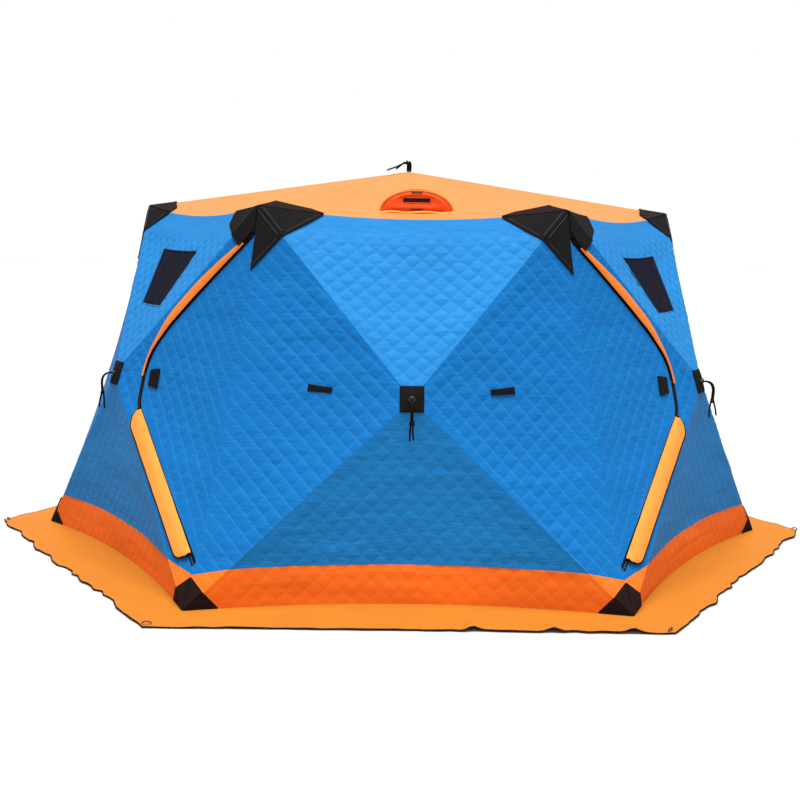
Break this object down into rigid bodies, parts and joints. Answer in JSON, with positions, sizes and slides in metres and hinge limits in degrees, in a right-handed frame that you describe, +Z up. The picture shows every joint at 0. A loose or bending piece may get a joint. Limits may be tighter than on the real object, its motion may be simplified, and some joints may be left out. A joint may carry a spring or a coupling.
{
  "type": "ice fishing hut",
  "caption": "Six-sided pop-up fabric hut with quilted walls on a pole-and-hub frame, a low vented roof, zip doors, windows and a ground skirt.",
  "frame": {"origin": "bottom centre of the footprint, on the ground", "axes": "+Z up, -Y out of the front wall between the two doors, +X to the right as seen from the front"},
  "size_m": [4.58, 3.9664, 2.0539],
  "materials": {
    "quilt_blue": "quilted coated polyester",
    "band_orange": "coated polyester",
    "roof_pale_orange": "coated polyester",
    "skirt_pale_orange": "coated polyester",
    "flap_pale_orange": "coated polyester",
    "flap_orange": "coated polyester",
    "vent_red": "coated polyester",
    "cap_black": "heavy woven reinforcement",
    "cap_brown": "heavy woven reinforcement",
    "webbing_black": "woven webbing",
    "zip_black": "zip tape",
    "cord_black": "braided cord",
    "window_sheet": "smooth flexible sheet",
    "hub_plastic": "moulded",
    "pole_fibreglass": "smooth"
  },
  "bodies": {
    "hut": {"front_wall": "quilt_blue", "front_left_wall": "quilt_blue", "front_right_wall": "quilt_blue", "back_left_wall": "quilt_blue", "back_wall": "quilt_blue", "back_right_wall": "quilt_blue", "front_band": "band_orange", "front_left_band": "band_orange", "front_right_band": "band_orange", "back_left_band": "band_orange", "back_band": "band_orange", "back_right_band": "band_orange", "roof": "roof_pale_orange", "snow_skirt": "skirt_pale_orange", "top_corner_caps": "cap_black", "bottom_corner_caps": "cap_brown", "front_left_window": "window_sheet", "front_right_window": "window_sheet", "back_left_window": "window_sheet", "back_right_window": "window_sheet", "left_upper_flap": "flap_orange", "right_upper_flap": "flap_orange", "left_zip_tape": "zip_black", "right_zip_tape": "zip_black", "hub_patches": "webbing_black", "wall_tabs": "webbing_black", "wall_hubs": "hub_plastic", "roof_hub": "hub_plastic", "wall_poles": "pole_fibreglass", "roof_poles": "pole_fibreglass", "vent_hood": "roof_pale_orange", "vent_panel": "vent_red", "front_pull_cord": "cord_black", "front_left_pull_cord": "cord_black", "front_right_pull_cord": "cord_black", "back_left_pull_cord": "cord_black", "back_pull_cord": "cord_black", "back_right_pull_cord": "cord_black", "roof_pull_cord": "cord_black"},
    "left_door_body": {"left_door": "quilt_blue", "left_zip_flap": "flap_pale_orange", "left_door_tab": "webbing_black"},
    "right_door_body": {"right_door": "quilt_blue", "right_zip_flap": "flap_pale_orange", "right_door_tab": "webbing_black"}
  },
  "joints": [
    {"name": "left_door_hinge", "type": "hinge", "parent": "hut", "child": "left_door_body", "pos_m": [-0.95788, -1.6591, 0.1969], "axis": [0.1497, 0.2593, 0.9541], "range_deg": [0, 110]},
    {"name": "right_door_hinge", "type": "hinge", "parent": "hut", "child": "right_door_body", "pos_m": [0.95788, -1.6591, 0.1969], "axis": [0.1497, -0.2593, -0.9541], "range_deg": [0, 110]}
  ]
}
